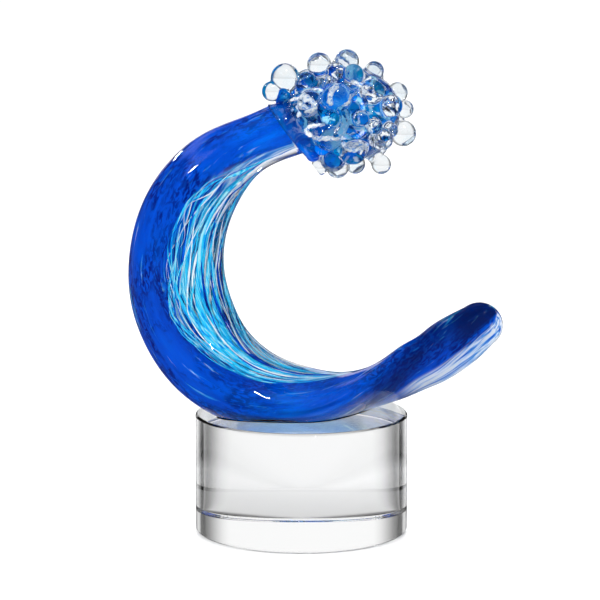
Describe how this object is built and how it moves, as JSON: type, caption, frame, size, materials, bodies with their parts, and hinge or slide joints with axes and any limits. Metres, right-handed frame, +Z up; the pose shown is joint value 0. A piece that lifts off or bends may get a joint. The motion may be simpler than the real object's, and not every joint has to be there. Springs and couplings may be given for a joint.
{
  "type": "glass wave sculpture",
  "caption": "Curling art glass wave with a crest of clear drops, bonded to a round crystal base.",
  "frame": {"origin": "centre of the base's underside", "axes": "+Z up, +X from the wave's back towards its tail, -Y the front that shows the streaks"},
  "size_m": [0.1568, 0.089, 0.2028],
  "materials": {
    "base_crystal": "polished optical crystal",
    "bond_clear": "clear cured adhesive",
    "clear_glass": "fire-polished clear glass",
    "cobalt_glass": "cobalt blue glass with aqua and white streaks",
    "aqua_glass": "aqua rod drawn into clear glass",
    "white_glass": "white rod drawn into clear glass",
    "crest_glass": "swirled clear, aqua and cobalt glass",
    "drop_glass": "fire-polished clear drops"
  },
  "bodies": {
    "root": {"base_cylinder": "base_crystal", "bond_film": "bond_clear", "wave_core": "cobalt_glass", "wave_casing_neck": "clear_glass", "wave_casing_back_upper": "clear_glass", "wave_casing_back_lower": "clear_glass", "wave_casing_foot": "clear_glass", "wave_casing_tail": "clear_glass", "streak_cane_01": "aqua_glass", "streak_cane_02": "white_glass", "streak_cane_03": "aqua_glass", "streak_cane_04": "white_glass", "streak_cane_05": "aqua_glass", "streak_cane_06": "white_glass", "streak_cane_07": "aqua_glass", "streak_cane_08": "white_glass", "crest_core": "crest_glass", "crest_curl_01": "drop_glass", "crest_curl_02": "drop_glass", "crest_curl_03": "drop_glass", "crest_curl_04": "drop_glass", "foam_drop_01": "drop_glass", "foam_drop_02": "drop_glass", "foam_drop_03": "drop_glass", "foam_drop_04": "drop_glass", "foam_drop_05": "drop_glass", "foam_drop_06": "drop_glass", "foam_drop_07": "drop_glass", "foam_drop_08": "drop_glass", "foam_drop_09": "drop_glass", "foam_drop_10": "drop_glass", "foam_drop_11": "drop_glass", "foam_drop_12": "drop_glass", "foam_drop_13": "drop_glass", "foam_drop_14": "drop_glass", "foam_drop_15": "drop_glass", "foam_drop_16": "drop_glass", "foam_drop_17": "drop_glass", "foam_drop_18": "drop_glass", "foam_drop_19": "drop_glass", "foam_drop_20": "drop_glass", "foam_drop_21": "drop_glass", "foam_drop_22": "drop_glass", "foam_drop_23": "drop_glass", "foam_drop_24": "drop_glass", "foam_drop_25": "drop_glass", "foam_drop_26": "drop_glass", "foam_drop_27": "drop_glass", "foam_drop_28": "drop_glass", "foam_drop_29": "drop_glass", "foam_drop_30": "drop_glass", "foam_drop_31": "drop_glass", "foam_drop_32": "drop_glass", "foam_drop_33": "drop_glass", "foam_drop_34": "drop_glass", "foam_drop_35": "drop_glass", "foam_drop_36": "drop_glass", "foam_drop_37": "drop_glass", "foam_drop_38": "drop_glass", "foam_drop_39": "drop_glass"}
  },
  "joints": []
}
